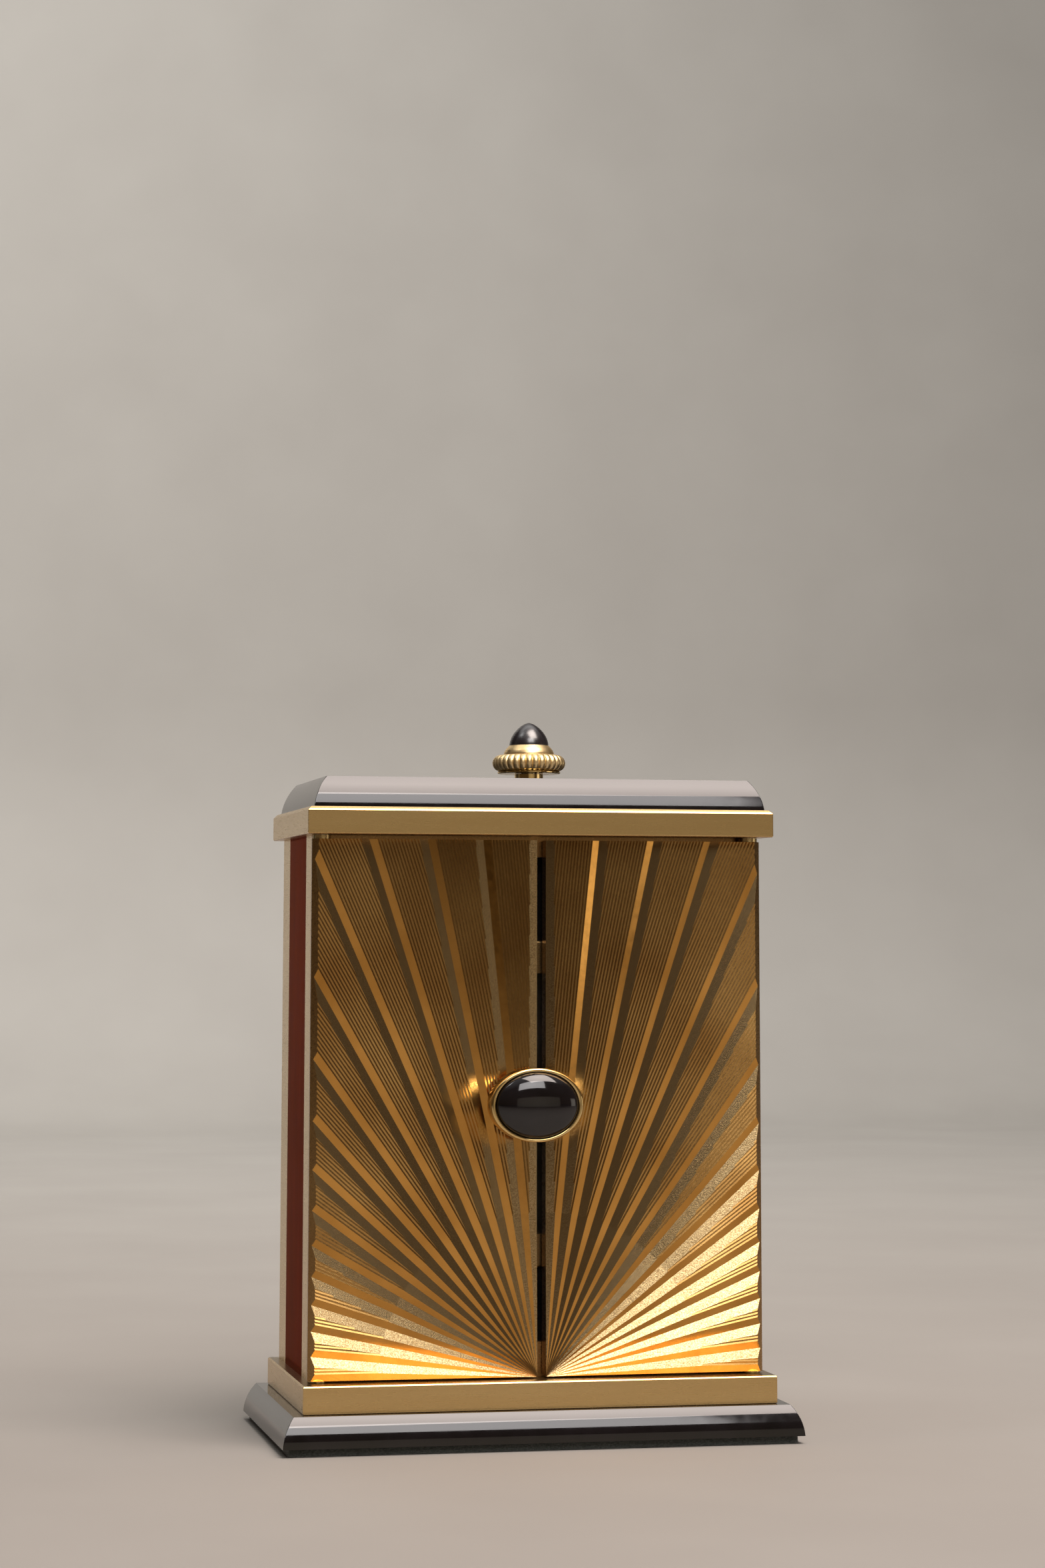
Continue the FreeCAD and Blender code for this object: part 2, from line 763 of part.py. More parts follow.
# Cabochon of the doors
def oval(wide, high, y0, y1):
    """Elliptical disc that lies along Y, at the cabochon's middle."""
    ellipse = Part.Ellipse(Vector(0, 0, 0), wide / 2, high / 2)
    solid = Part.Face(Part.Wire(ellipse.toShape())).extrude(Vector(0, 0, y1 - y0))
    solid.rotate(Vector(0, 0, 0), Vector(1, 0, 0), -90)
    solid.translate(Vector(cabochon_x, y0, cabochon_z))
    return solid


def cabochon_bezel():
    back = door_front - bezel_stand
    front = back - bezel_deep
    solid = oval(bezel_wide, bezel_high, front, back)
    solid = solid.makeFillet(bezel_round, [e for e in solid.Edges if abs(e.BoundBox.YMax - front) < 1e-4])
    solid = solid.cut(oval(bezel_wide - 2 * bezel_side_wall, bezel_high - 2 * bezel_top_wall,
                           front, back - bezel_base))
    stud = disc(stud_dia, back, door_front + stud_seat, cabochon_x - stud_reach, cabochon_z)
    return solid.fuse(stud).removeSplitter()


def cabochon_stone():
    """Oval stone with a straight girdle and a low dome: a round one, pressed to the bezel's proportion."""
    back = door_front - bezel_stand - bezel_base
    girdle = bezel_deep - bezel_base
    half_wide = bezel_wide / 2 - bezel_side_wall
    half_high = bezel_high / 2 - bezel_top_wall
    dome = Part.ArcOfEllipse(Part.Ellipse(Vector(0, 0, 0), half_wide, dome_rise), 0, pi / 2).toShape()
    dome.translate(Vector(0, girdle, 0))
    edges = [Part.makeLine(Vector(0, 0, 0), Vector(half_wide, 0, 0)),
             Part.makeLine(Vector(half_wide, 0, 0), Vector(half_wide, girdle, 0)), dome,
             Part.makeLine(Vector(0, girdle + dome_rise, 0), Vector(0, 0, 0))]
    stone = Part.Face(Part.Wire(edges)).revolve(Vector(0, 0, 0), Vector(0, 1, 0), 360)
    press = FreeCAD.Matrix()
    press.scale(1, 1, half_high / half_wide)
    stone = stone.transformGeometry(press)
    stone.rotate(Vector(0, 0, 0), Vector(0, 0, 1), 180)
    stone.translate(Vector(cabochon_x, back, cabochon_z))
    return stone


# Dial, hands and movement
def dial_bezel():
    front = frame_back - ring_stand
    flange = disc(ring_dia, front, frame_back)
    flange = flange.makeFillet(ring_round, [e for e in flange.Edges if abs(e.BoundBox.YMax - front) < 1e-4])
    neck = disc(ring_neck_dia, frame_back, surround_back)
    cutters = [disc(sight_dia, front, surround_back),
               disc(crystal_dia, surround_back - crystal_thick, surround_back)]
    return flange.fuse(neck).removeSplitter().cut(cutters)


def dial_crystal():
    return disc(crystal_dia, surround_back - crystal_thick, surround_back)


def dial_spacer():
    return disc(spacer_dia, surround_back, dial_front).cut(disc(spacer_bore, surround_back, dial_front))


def dial_plate():
    return disc(spacer_dia, dial_front, dial_back).cut(disc(tube_bore, dial_front, dial_back))


def hour_markers():
    """Twelve plain batons standing on the dial."""
    reach = spacer_bore / 2 - marker_inset
    batons = []
    for angle in spaced(12):
        baton = box(-marker_wide / 2, marker_wide / 2, dial_front - marker_thick, dial_front,
                    dial_z + reach - marker_long, dial_z + reach)
        baton.rotate(Vector(0, 0, dial_z), Vector(0, 1, 0), angle)
        batons.append(baton)
    return Part.makeCompound(batons)


def hand(length, wide, plane, bore, hub_dia, angle):
    """Tapered hand with a round hub, turned clockwise from twelve."""
    y = dial_front - plane
    tip = hand_taper * wide / 2
    blade = prism([Vector(-wide / 2, y, dial_z), Vector(-tip, y, dial_z + length),
                   Vector(tip, y, dial_z + length), Vector(wide / 2, y, dial_z)], Vector(0, -hand_thick, 0))
    hub = disc(hub_dia, y - hand_thick, y)
    solid = blade.fuse(hub).removeSplitter().cut(disc(bore, y - hand_thick, y))
    solid.rotate(Vector(0, 0, dial_z), Vector(0, 1, 0), angle)
    return solid


def hour_hand():
    """Hand on the tube that turns round the minute arbor."""
    blade = hand(hour_long, hour_wide, hour_plane, arbor_bore, hour_hub_dia, hour_rest_angle)
    y0, y1 = dial_front - hour_plane, dial_back + hour_tube_reach
    tube = disc(hour_tube_dia, y0, y1).cut(disc(arbor_bore, y0, y1))
    return blade.fuse(tube).removeSplitter()


def minute_hand():
    return hand(minute_long, minute_wide, minute_plane, arbor_dia, minute_hub_dia, minute_rest_angle)


def minute_arbor():
    return disc(arbor_dia, dial_front - minute_plane - hand_thick, cover_back + knob_stand + knob_thick)


def movement_body():
    """Sealed movement block, bored for the arbors and for the battery."""
    half = movement_side / 2
    solid = box(-half, half, dial_back, movement_back, dial_z - half, dial_z + half)
    upright = [e for e in solid.Edges if e.BoundBox.YLength > movement_deep - 1e-6]
    solid = solid.makeFillet(movement_corner, upright)
    return solid.cut([disc(arbor_bore, dial_back, movement_back),
                      disc(tube_bore, dial_back, dial_back + hour_tube_reach + run_fit),
                      disc(cell_dia + 2 * run_fit, movement_back - cell_thick, movement_back,
                           0, dial_z - cell_drop)])


def battery_cell():
    cell = disc(cell_dia, movement_back - cell_thick, movement_back, 0, dial_z - cell_drop)
    return cell.makeFillet(cell_round, cell.Edges[0])


def movement_bracket():
    """Strap behind the movement with a tab along each side wall to the back posts."""
    y0, y1 = movement_back, movement_back + bracket_thick
    middle = dial_z + bracket_rise
    z0, z1 = middle - bracket_high / 2, middle + bracket_high / 2
    strap = box(-inner_half, inner_half, y0, y1, z0, z1)
    tabs = [box(-inner_half, bracket_thick - inner_half, y1, back_post_front, z0, z1),
            box(inner_half - bracket_thick, inner_half, y1, back_post_front, z0, z1)]
    return strap.fuse(tabs).removeSplitter().cut(disc(arbor_bore, y0, y1))


def setting_knob():
    y0 = cover_back + knob_stand
    y1 = y0 + knob_thick
    knob = disc(knob_dia, y0, y1)
    cutters = [disc(arbor_dia, y0, y1)]
    for angle in spaced(knob_flutes):
        cutters.append(disc(knob_flute_dia, y0, y1, knob_dia / 2 * cos(radians(angle)),
                            dial_z + knob_dia / 2 * sin(radians(angle))))
    return knob.cut(cutters)


def build():
    """Write every piece; each node has the name of the function that makes it."""
    os.makedirs("parts", exist_ok=True)
    for make in (felt_pad, plinth, lower_band, upper_band, top_slab, front_frame, dial_surround, corner_posts,
                 base_screws, top_screws, back_cover, back_cover_screws, battery_hatch, door_yoke, guide_pins,
                 crown_bush, crown_spindle, crown_lip, crown_wheel, crown_collar, crown_stone,
                 cabochon_bezel, cabochon_stone, dial_bezel, dial_crystal, dial_spacer, dial_plate,
                 hour_markers, hour_hand, minute_hand, minute_arbor, movement_body, battery_cell,
                 movement_bracket, setting_knob):
        save(make.__name__, make())
    for name, side in (("left_", -1), ("right_", 1)):
        for make in (side_wall, lacquer_panel, door_panel,
                     lower_pivot, upper_pivot, hinge_washers, hinge_pinion):
            save(name + make.__name__, make(side))


build()
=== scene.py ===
import bmesh
import bpy
import json
from math import atan2, cos, hypot, pi, radians, sin
from mathutils import Matrix, Vector


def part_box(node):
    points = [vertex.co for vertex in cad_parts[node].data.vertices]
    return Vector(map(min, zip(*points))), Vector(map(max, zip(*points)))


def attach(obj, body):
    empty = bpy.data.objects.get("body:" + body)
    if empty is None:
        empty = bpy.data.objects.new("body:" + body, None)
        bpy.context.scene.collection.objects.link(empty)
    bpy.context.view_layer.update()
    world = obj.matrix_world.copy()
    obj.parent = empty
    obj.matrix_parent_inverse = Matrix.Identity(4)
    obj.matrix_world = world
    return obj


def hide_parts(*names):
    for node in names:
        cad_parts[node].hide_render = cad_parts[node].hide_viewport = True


# Looks of a small table clock with two ray-engraved shutter doors.
# Lengths are millimetres; a piece is scaled to metres when it is made.

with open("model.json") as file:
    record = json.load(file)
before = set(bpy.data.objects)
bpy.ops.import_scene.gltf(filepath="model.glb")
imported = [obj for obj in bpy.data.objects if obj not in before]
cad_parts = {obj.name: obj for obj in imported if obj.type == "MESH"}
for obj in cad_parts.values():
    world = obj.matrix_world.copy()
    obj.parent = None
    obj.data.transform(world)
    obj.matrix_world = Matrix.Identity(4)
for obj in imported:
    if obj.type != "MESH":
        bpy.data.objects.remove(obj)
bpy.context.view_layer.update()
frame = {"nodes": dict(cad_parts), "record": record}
MM = 0.001

# Photograph's height and the camera that was solved for it
IMAGE_HIGH = 2352
FOCAL_PIXELS = 5214.0
AXIS_PIXEL_Y = 776.0
CAMERA_PLACE = (-92.92, -445.80, 60.89)
CAMERA_YAW = 0.2066
CAMERA_PITCH = 0.1241
CAMERA_ROLL = 0.0016
SENSOR = 36.0

# Doors
DOOR_CHAMFER = 0.8
RAY_COUNT = 15
RAY_DEPTH = 0.46
RAY_SMOOTH_WIDE = 0.92
RAY_GRAINED_WIDE = 1.18
RAY_REACH = 80.0
APEX_INSET = 0.05
LINE_PITCH = 0.4
LINE_DEPTH = 0.072
RELIEF_BEHIND = 1.0
DOOR_FINISHES = ["ray_smooth", "ray_grained", "ray_lined", "edge_gilt_and_painted_shade"]
SMOOTH, GRAINED, LINED, PLAIN = range(4)

# Mouldings, bands and felt
PLINTH_RUN = 1.47
SLAB_RUN = 1.75
MOULDING_BULGE = 0.32
MITRE_ROUND = 0.05
UPPER_BAND_CHAMFER = 0.45
LOWER_BAND_CHAMFER = 0.15
BAND_ARRIS = 0.12
BAND_SOFT = 0.04
FELT_INSET = 0.1
FELT_EDGE = 0.15
FELT_CORNER = 0.4

# Cabochon
BEZEL_SIDE_WALL = 0.71
BEZEL_TOP_WALL = 0.5
BEZEL_LIP = 0.3
COLLET_TAPER = 0.5
COLLET_BACK = 0.8
COLLET_SHOULDER = 0.6
GIRDLE_SHARE = 0.6
DOME_CLOSE = 0.995
OVAL_STEPS = 128

# Crown
CROWN_RIBS = 32
RIB_DEPTH = 0.24
RIB_START = 0.62
RIB_CURVE = 0.7
RIB_STEPS = 12
WHEEL_HOLE = 1.2
WHEEL_FACE_INSET = 1.25
WHEEL_TREAD = 0.98
COLLAR_HOLE = 1.0
COLLAR_TOP = 2.6
COLLAR_WELL = 2.0
COLLAR_FOOT = 0.12
COLLAR_BULGE = 0.12
COLLAR_RIM_HIGH = 0.08
COLLAR_RIM_INSET = 0.07
EDGE_BREAK = 0.1
BULLET_SEAT = 0.6
BULLET_BELLY = 1.8
BULLET_NOSE = 0.66
BULLET_TIP = 0.01
TURNED_STEPS = 96

# Stage
FLOOR_FRONT = -4000.0
FLOOR_BACK = 900.0
FLOOR_SWEEP = 160.0
FLOOR_HALF_WIDE = 4000.0
FLOOR_DARK_Y = -550.0
FLOOR_PALE_Y = -100.0
BACKDROP_TALL = 2500.0


def span(node):
    """Lowest and highest corner of a CAD node, in millimetres."""
    low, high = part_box(node)
    return low / MM, high / MM


# Material helpers
def nodes_of(material):
    """Node tree of a material and its surface shader."""
    material.use_nodes = True
    tree = material.node_tree
    shader = next(n for n in tree.nodes if n.type == "BSDF_PRINCIPLED")
    return tree, shader


def noise(tree, scale, detail=3.0, stretch=(1, 1, 1), rough=0.5):
    """Noise in the object's own space; scale is features per millimetre."""
    place = tree.nodes.new("ShaderNodeTexCoord")
    mapping = tree.nodes.new("ShaderNodeMapping")
    mapping.inputs["Scale"].default_value = stretch
    texture = tree.nodes.new("ShaderNodeTexNoise")
    texture.inputs["Scale"].default_value = scale / MM
    texture.inputs["Detail"].default_value = detail
    texture.inputs["Roughness"].default_value = rough
    tree.links.new(place.outputs["Object"], mapping.inputs["Vector"])
    tree.links.new(mapping.outputs["Vector"], texture.inputs["Vector"])
    return texture.outputs["Fac"]


def coordinate(tree, space, axis):
    """One axis of a coordinate, as a number."""
    place = tree.nodes.new("ShaderNodeTexCoord")
    axes = tree.nodes.new("ShaderNodeSeparateXYZ")
    tree.links.new(place.outputs[space], axes.inputs["Vector"])
    return axes.outputs[axis]


def ramp(tree, source, stops):
    """Colour ramp from (position, colour) stops."""
    node = tree.nodes.new("ShaderNodeValToRGB")
    elements = node.color_ramp.elements
    while len(elements) < len(stops):
        elements.new(0.5)
    for element, (position, colour) in zip(elements, stops):
        element.position = position
        element.color = (*colour, 1.0)
    tree.links.new(source, node.inputs["Fac"])
    return node.outputs["Color"]


def spread(tree, source, low, high, start=0.3, end=0.7):
    """Number that runs from low to high as the source runs from start to end."""
    node = tree.nodes.new("ShaderNodeMapRange")
    node.inputs["From Min"].default_value = start
    node.inputs["From Max"].default_value = end
    node.inputs["To Min"].default_value = low
    node.inputs["To Max"].default_value = high
    tree.links.new(source, node.inputs["Value"])
    return node.outputs["Result"]


def blended(tree, share, first, second):
    """Colour between two others, each a plain colour or another node's output."""
    node = tree.nodes.new("ShaderNodeMix")
    node.data_type = "RGBA"
    factor_input, colour_inputs, colour_output = 0, (6, 7), 2
    tree.links.new(share, node.inputs[factor_input])
    for place, colour in zip(colour_inputs, (first, second)):
        if isinstance(colour, tuple):
            node.inputs[place].default_value = (*colour, 1.0)
        else:
            tree.links.new(colour, node.inputs[place])
    return node.outputs[colour_output]


def bumped(tree, shader, source, depth):
    """Bump of the source's height, depth in millimetres."""
    node = tree.nodes.new("ShaderNodeBump")
    node.inputs["Distance"].default_value = depth * MM
    tree.links.new(source, node.inputs["Height"])
    tree.links.new(node.outputs["Normal"], shader.inputs["Normal"])


# Materials
def metal(name, dark, light, rough, grain, grain_depth, stretch=(1, 1, 1), stain=0.08):
    """Metal: large stains between two tones, fine grain in roughness and bump."""
    material = bpy.data.materials.new(name)
    tree, shader = nodes_of(material)
    shader.inputs["Metallic"].default_value = 1.0
    large = noise(tree, stain, 4.0, stretch)
    fine = noise(tree, grain, 4.0, stretch)
    tone = ramp(tree, large, [(0.3, dark), (0.7, light)])
    tree.links.new(tone, shader.inputs["Base Color"])
    tree.links.new(spread(tree, fine, *rough), shader.inputs["Roughness"])
    bumped(tree, shader, fine, grain_depth)
    return material


def gloss(name, dark, light, rough, ior, stain, stretch=(1, 1, 1), metallic=0.0, edge=(1, 1, 1)):
    """Polished stone or lacquer with a faint figure below its surface."""
    material = bpy.data.materials.new(name)
    tree, shader = nodes_of(material)
    figure = noise(tree, stain, 6.0, stretch, 0.6)
    fine = noise(tree, 0.6, 2.0)
    tone = ramp(tree, figure, [(0.35, dark), (0.68, light)])
    tree.links.new(tone, shader.inputs["Base Color"])
    tree.links.new(spread(tree, fine, *rough), shader.inputs["Roughness"])
    shader.inputs["IOR"].default_value = ior
    shader.inputs["Metallic"].default_value = metallic
    shader.inputs["Specular Tint"].default_value = (*edge, 1.0)
    return material


def plain_paint(name, dark, light, rough):
    """Matt moulded or painted surface with fine grain."""
    material = bpy.data.materials.new(name)
    tree, shader = nodes_of(material)
    fine = noise(tree, 4.0, 4.0)
    tone = ramp(tree, fine, [(0.3, dark), (0.7, light)])
    tree.links.new(tone, shader.inputs["Base Color"])
    shader.inputs["Roughness"].default_value = rough
    bumped(tree, shader, fine, 0.02)
    return material


def grained_metal():
    """Stippled wall of the grooves: dense small pits, with painted shade making their hollows
    dark.
    """
    material = bpy.data.materials.new("ray_grained")
    tree, shader = nodes_of(material)
    shader.inputs["Metallic"].default_value = 1.0
    pits = noise(tree, 6.0, 3.0, (1, 1, 1), 0.75)
    # The darker tone follows the pits' hollows: painted shade.
    tone = ramp(tree, pits, [(0.38, (0.32, 0.20, 0.08)), (0.62, (0.62, 0.46, 0.235))])
    tree.links.new(tone, shader.inputs["Base Color"])
    tree.links.new(spread(tree, pits, 0.26, 0.18, 0.4, 0.6), shader.inputs["Roughness"])
    bumped(tree, shader, pits, 0.008)
    return material


def felt():
    """Dark green felt with a soft nap."""
    material = bpy.data.materials.new("felt")
    tree, shader = nodes_of(material)
    fibre = noise(tree, 3.0, 6.0, (1, 1, 2), 0.7)
    tone = ramp(tree, fibre, [(0.35, (0.006, 0.009, 0.007)), (0.75, (0.07, 0.085, 0.07))])
    tree.links.new(tone, shader.inputs["Base Color"])
    shader.inputs["Roughness"].default_value = 0.95
    shader.inputs["Sheen Weight"].default_value = 0.5
    bumped(tree, shader, fibre, 0.25)
    return material


def crystal():
    """Clear glass with a little haze."""
    material = bpy.data.materials.new("crystal")
    tree, shader = nodes_of(material)
    shader.inputs["Transmission Weight"].default_value = 1.0
    shader.inputs["IOR"].default_value = 1.5
    haze = noise(tree, 0.4, 2.0)
    tree.links.new(spread(tree, haze, 0.0, 0.03), shader.inputs["Roughness"])
    return material


# Rows follow the arguments of metal, gloss and plain_paint
METALS = {
    "ray_smooth": ((0.50, 0.24, 0.05), (0.76, 0.40, 0.10), (0.12, 0.22), 1.5, 0.004),
    "ray_lined": ((0.40, 0.21, 0.06), (0.60, 0.36, 0.12), (0.16, 0.26), 9.0, 0.0012),
    # Darker gilt of the door edges; also painted shade on the band feet and on the frame seen in
    # the gap.
    "edge_gilt_and_painted_shade": ((0.34, 0.19, 0.07), (0.44, 0.27, 0.11), (0.24, 0.34), 4.0, 0.0015),
    "satin_gilt": ((0.60, 0.41, 0.175), (0.64, 0.45, 0.20), (0.24, 0.28), 9.0, 0.0003,
                   (0.05, 0.05, 1), 0.5),
    # Painted shade: darker gilt on the lower band's top, the ledge below the doors, and on the
    # dial bezel in the gap.
    "painted_shade_gilt": ((0.28, 0.19, 0.085), (0.34, 0.235, 0.105), (0.26, 0.32), 6.0, 0.0005),
    "polished_gilt": ((0.72, 0.50, 0.20), (0.86, 0.64, 0.30), (0.08, 0.18), 1.0, 0.003),
    "crown_gilt": ((0.88, 0.62, 0.29), (0.96, 0.74, 0.40), (0.32, 0.42), 4.0, 0.003),
    "steel": ((0.42, 0.42, 0.43), (0.6, 0.6, 0.61), (0.18, 0.32), 3.0, 0.003),
    "brass_works": ((0.6, 0.45, 0.2), (0.72, 0.56, 0.29), (0.2, 0.36), 2.0, 0.004),
    "dial": ((0.62, 0.59, 0.52), (0.72, 0.69, 0.62), (0.3, 0.4), 3.0, 0.0015),
}
GLOSSES = {
    "onyx": ((0.004, 0.003, 0.003), (0.008, 0.006, 0.007), (0.05, 0.09), 1.6, 0.15),
    "bullet_onyx": ((0.006, 0.004, 0.005), (0.012, 0.008, 0.01), (0.24, 0.3), 1.95, 0.2),
    "lacquer": ((0.09, 0.014, 0.003), (0.28, 0.07, 0.014), (0.08, 0.14), 1.4, 0.35,
                (1, 1, 0.12), 0.97, (0.26, 0.05, 0.0)),
    "black_lacquer": ((0.008, 0.007, 0.007), (0.018, 0.014, 0.013), (0.1, 0.2), 1.5, 0.3),
}
PAINTS = {
    "hands": ((0.02, 0.02, 0.025), (0.04, 0.04, 0.05), 0.35),
    "movement": ((0.02, 0.02, 0.022), (0.04, 0.04, 0.044), 0.6),
}
MATERIALS = {
    "ray_grained": grained_metal(),
    "felt": felt(),
    "crystal": crystal(),
}
for make, rows in ((metal, METALS), (gloss, GLOSSES), (plain_paint, PAINTS)):
    for name, row in rows.items():
        MATERIALS[name] = make(name, *row)


# Mesh helpers
def mesh_object(name, points, faces, finishes, indices=None):
    """Loose object with its faces turned outward; indices pick each face's finish."""
    mesh = bpy.data.meshes.new(name)
    mesh.from_pydata(points, [], faces)
    for finish in finishes:
        mesh.materials.append(MATERIALS[finish])
    if indices:
        mesh.polygons.foreach_set("material_index", indices)
    tool = bmesh.new()
    tool.from_mesh(mesh)
    bmesh.ops.recalc_face_normals(tool, faces=tool.faces)
    tool.to_mesh(mesh)
    tool.free()
    thing = bpy.data.objects.new(name, mesh)
    bpy.context.scene.collection.objects.link(thing)
    return thing


def made(name, points, faces, body, node, finishes, indices=None, smooth=None):
    """Piece that rides on a body and stands for a CAD node.

    Points are millimetres; edges sharper than smooth, in degrees, stay sharp.
    """
    thing = mesh_object(name, [Vector(p) * MM for p in points], faces, finishes, indices)
    if smooth:
        thing.data.shade_smooth()
        thing.data.set_sharp_from_angle(angle=radians(smooth))
    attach(thing, body)
    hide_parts(node)


def lofted(rings):
    """Points and faces of a closed skin through rings of equal count, with flat ends."""
    count = len(rings[0])
    points = [p for ring in rings for p in ring]
    faces = [list(range(count))]
    for k in range(len(rings) - 1):
        low, high = k * count, (k + 1) * count
        for i in range(count):
            j = (i + 1) % count
            faces.append([low + i, low + j, high + j, high + i])
    last = (len(rings) - 1) * count
    faces.append([last + i for i in reversed(range(count))])
    return points, faces


def rectangle_ring(half_x, half_y, z, corner, steps=3):
    """Flat rectangle with round corners; a point on each side of an arc keeps the sides flat."""
    ring = []
    for quarter, (sx, sy) in enumerate(((1, 1), (-1, 1), (-1, -1), (1, -1))):
        centre = Vector((sx * (half_x - corner), sy * (half_y - corner), z))
        first, last = pi / 2 * quarter, pi / 2 * (quarter + 1)
        turns = [first + (last - first) * k / steps for k in range(steps + 1)]
        arc = [centre + corner * Vector((cos(turn), sin(turn), 0)) for turn in turns]
        before = arc[0] - corner * Vector((-sin(first), cos(first), 0))
        after = arc[-1] + corner * Vector((-sin(last), cos(last), 0))
        ring += [before] + arc + [after]
    return ring


def arc_points(centre, radius, first, last, steps):
    """Points along a flat arc, angles in degrees."""
    points = []
    for k in range(steps + 1):
        angle = radians(first + (last - first) * k / steps)
        points.append((centre[0] + radius * cos(angle), centre[1] + radius * sin(angle)))
    return points


def turned(profile, steps, axis, wave=None):
    """Points and faces of a piece turned about an upright axis; profile is (radius, height)."""
    rings = []
    for r, z in profile:
        ring = []
        for i in range(steps):
            angle = 2 * pi * i / steps
            reach = wave(angle, r) if wave else r
            ring.append((axis.x + reach * cos(angle), axis.y + reach * sin(angle), z))
        rings.append(ring)
    return lofted(rings)


# Doors
class Relief:
    """Ray grooves cut from an apex, as a surface that lies behind the door's front plane."""

    def __init__(self):
        self.points = []
        self.faces = []
        self.kinds = []
        self.index = {}

    def point(self, x, z, deep):
        """Index of a point: x towards the outer edge, z up, both from the apex."""
        key = (round(x, 6), round(z, 6), round(deep, 6))
        if key not in self.index:
            self.index[key] = len(self.points)
            self.points.append(Vector((x, deep, z)))
        return self.index[key]

    def face(self, corners, kind):
        """Face between points that are given by their indices."""
        self.faces.append(corners)
        self.kinds.append(kind)

    def on_ray(self, angle, along, offset, deep):
        """Point beside a ray: offset is positive towards the upright."""
        x = along * cos(angle) - offset * sin(angle)
        z = along * sin(angle) + offset * cos(angle)
        return self.point(x, z, deep)


def crossing(angle, offset, other_angle, other_offset):
    """Distance along the first line at which it meets the second; both lie beside rays."""
    turn = other_angle - angle
    return (offset * cos(turn) - other_offset) / sin(turn)


def cut_unit(relief, angle, step):
    """One groove's smooth wall, the lined land above it and the next groove's grained wall."""
    upper = angle + step
    start = crossing(angle, RAY_SMOOTH_WIDE, upper, -RAY_GRAINED_WIDE)
    full = (RAY_SMOOTH_WIDE + RAY_GRAINED_WIDE) / step
    apex = relief.on_ray(angle, 0, 0, 0)
    valley = relief.on_ray(angle, full, 0, RAY_DEPTH)
    valley_end = relief.on_ray(angle, RAY_REACH, 0, RAY_DEPTH)
    crest = relief.on_ray(angle, start, RAY_SMOOTH_WIDE, 0)
    crest_end = relief.on_ray(angle, RAY_REACH, RAY_SMOOTH_WIDE, 0)
    next_valley = relief.on_ray(upper, full, 0, RAY_DEPTH)
    next_end = relief.on_ray(upper, RAY_REACH, 0, RAY_DEPTH)
    relief.face([apex, valley, crest], SMOOTH)
    relief.face([valley, valley_end, crest_end, crest], SMOOTH)
    relief.face([apex, crest, next_valley], GRAINED)
    rim = [crest]
    last_low, last_high = crest, crest_end
    far_offset = RAY_REACH * sin(step) - RAY_GRAINED_WIDE * cos(step)
    count = int((far_offset - RAY_SMOOTH_WIDE) / (LINE_PITCH / 2))
    for k in range(1, count):
        offset = RAY_SMOOTH_WIDE + k * LINE_PITCH / 2
        deep = LINE_DEPTH if k % 2 else 0.0
        edge = RAY_GRAINED_WIDE * (1 - deep / RAY_DEPTH)
        low = relief.on_ray(angle, crossing(angle, offset, upper, -edge), offset, deep)
        high = relief.on_ray(angle, RAY_REACH, offset, deep)
        relief.face([last_low, last_high, high, low], LINED)
        rim.append(low)
        last_low, last_high = low, high
    corner = relief.on_ray(upper, RAY_REACH, -RAY_GRAINED_WIDE, 0)
    relief.face([last_low, last_high, corner], LINED)
    rim.append(corner)
    relief.face([next_valley] + rim + [next_end], GRAINED)


def closed_relief(behind):
    """Relief closed with side skirts and a flat back, as far behind the front plane as given."""
    relief = Relief()
    step = radians(90.0 / RAY_COUNT)
    for k in range(-1, RAY_COUNT + 1):
        cut_unit(relief, k * step, step)
    uses = {}
    for face in relief.faces:
        for a, b in zip(face, face[1:] + face[:1]):
            uses.setdefault(frozenset((a, b)), []).append((a, b))
    rim = {a: b for pairs in uses.values() if len(pairs) == 1 for a, b in pairs}
    start = next(iter(rim))
    loop = [start]
    while rim[loop[-1]] != start:
        loop.append(rim[loop[-1]])
    back = []
    for i in loop:
        p = relief.points[i]
        back.append(len(relief.points))
        relief.points.append(Vector((p.x, behind, p.z)))
    for k, i in enumerate(loop):
        j = (k + 1) % len(loop)
        relief.face([loop[j], i, back[k], back[j]], PLAIN)
    relief.face(back, PLAIN)
    return relief


def door_outline(wide, thick):
    """Door's section in plan: x from the free edge to the outer one, y from front to back."""
    round_r = thick / 2
    corner = arc_points((wide - round_r, thick - round_r), round_r, 90, 0, 8)
    return [(0, 0), (0, thick)] + corner + [(wide, DOOR_CHAMFER), (wide - DOOR_CHAMFER, 0)]


def door(side, node, body):
    """Door plate: its blank, cut to the closed relief."""
    low, high = span(node)
    wide, thick, tall = high - low
    outline = door_outline(wide, thick)
    points, faces = lofted([[Vector((x, y, z)) for x, y in outline] for z in (0, tall)])
    blank = mesh_object("blank", points, faces, DOOR_FINISHES, [PLAIN] * len(faces))
    relief = closed_relief(thick + RELIEF_BEHIND)
    shift = Vector((APEX_INSET, 0, APEX_INSET))
    points = [p - shift for p in relief.points]
    cutter = mesh_object("relief", points, relief.faces, DOOR_FINISHES, relief.kinds)
    boolean = blank.modifiers.new("cut", "BOOLEAN")
    boolean.operation = "INTERSECT"
    boolean.solver = "EXACT"
    boolean.object = cutter
    bpy.context.view_layer.update()
    cut = blank.evaluated_get(bpy.context.evaluated_depsgraph_get())
    shaped = bpy.data.meshes.new_from_object(cut)
    free_edge = high.x if side < 0 else low.x
    points = [(free_edge + side * v.co.x, low.y + v.co.y, low.z + v.co.z) for v in shaped.vertices]
    faces = [list(p.vertices) for p in shaped.polygons]
    indices = [p.material_index for p in shaped.polygons]
    for thing in (blank, cutter):
        bpy.data.objects.remove(thing)
    name = ("left" if side < 0 else "right") + "_ray_door"
    made(name, points, faces, body, node, DOOR_FINISHES, indices)


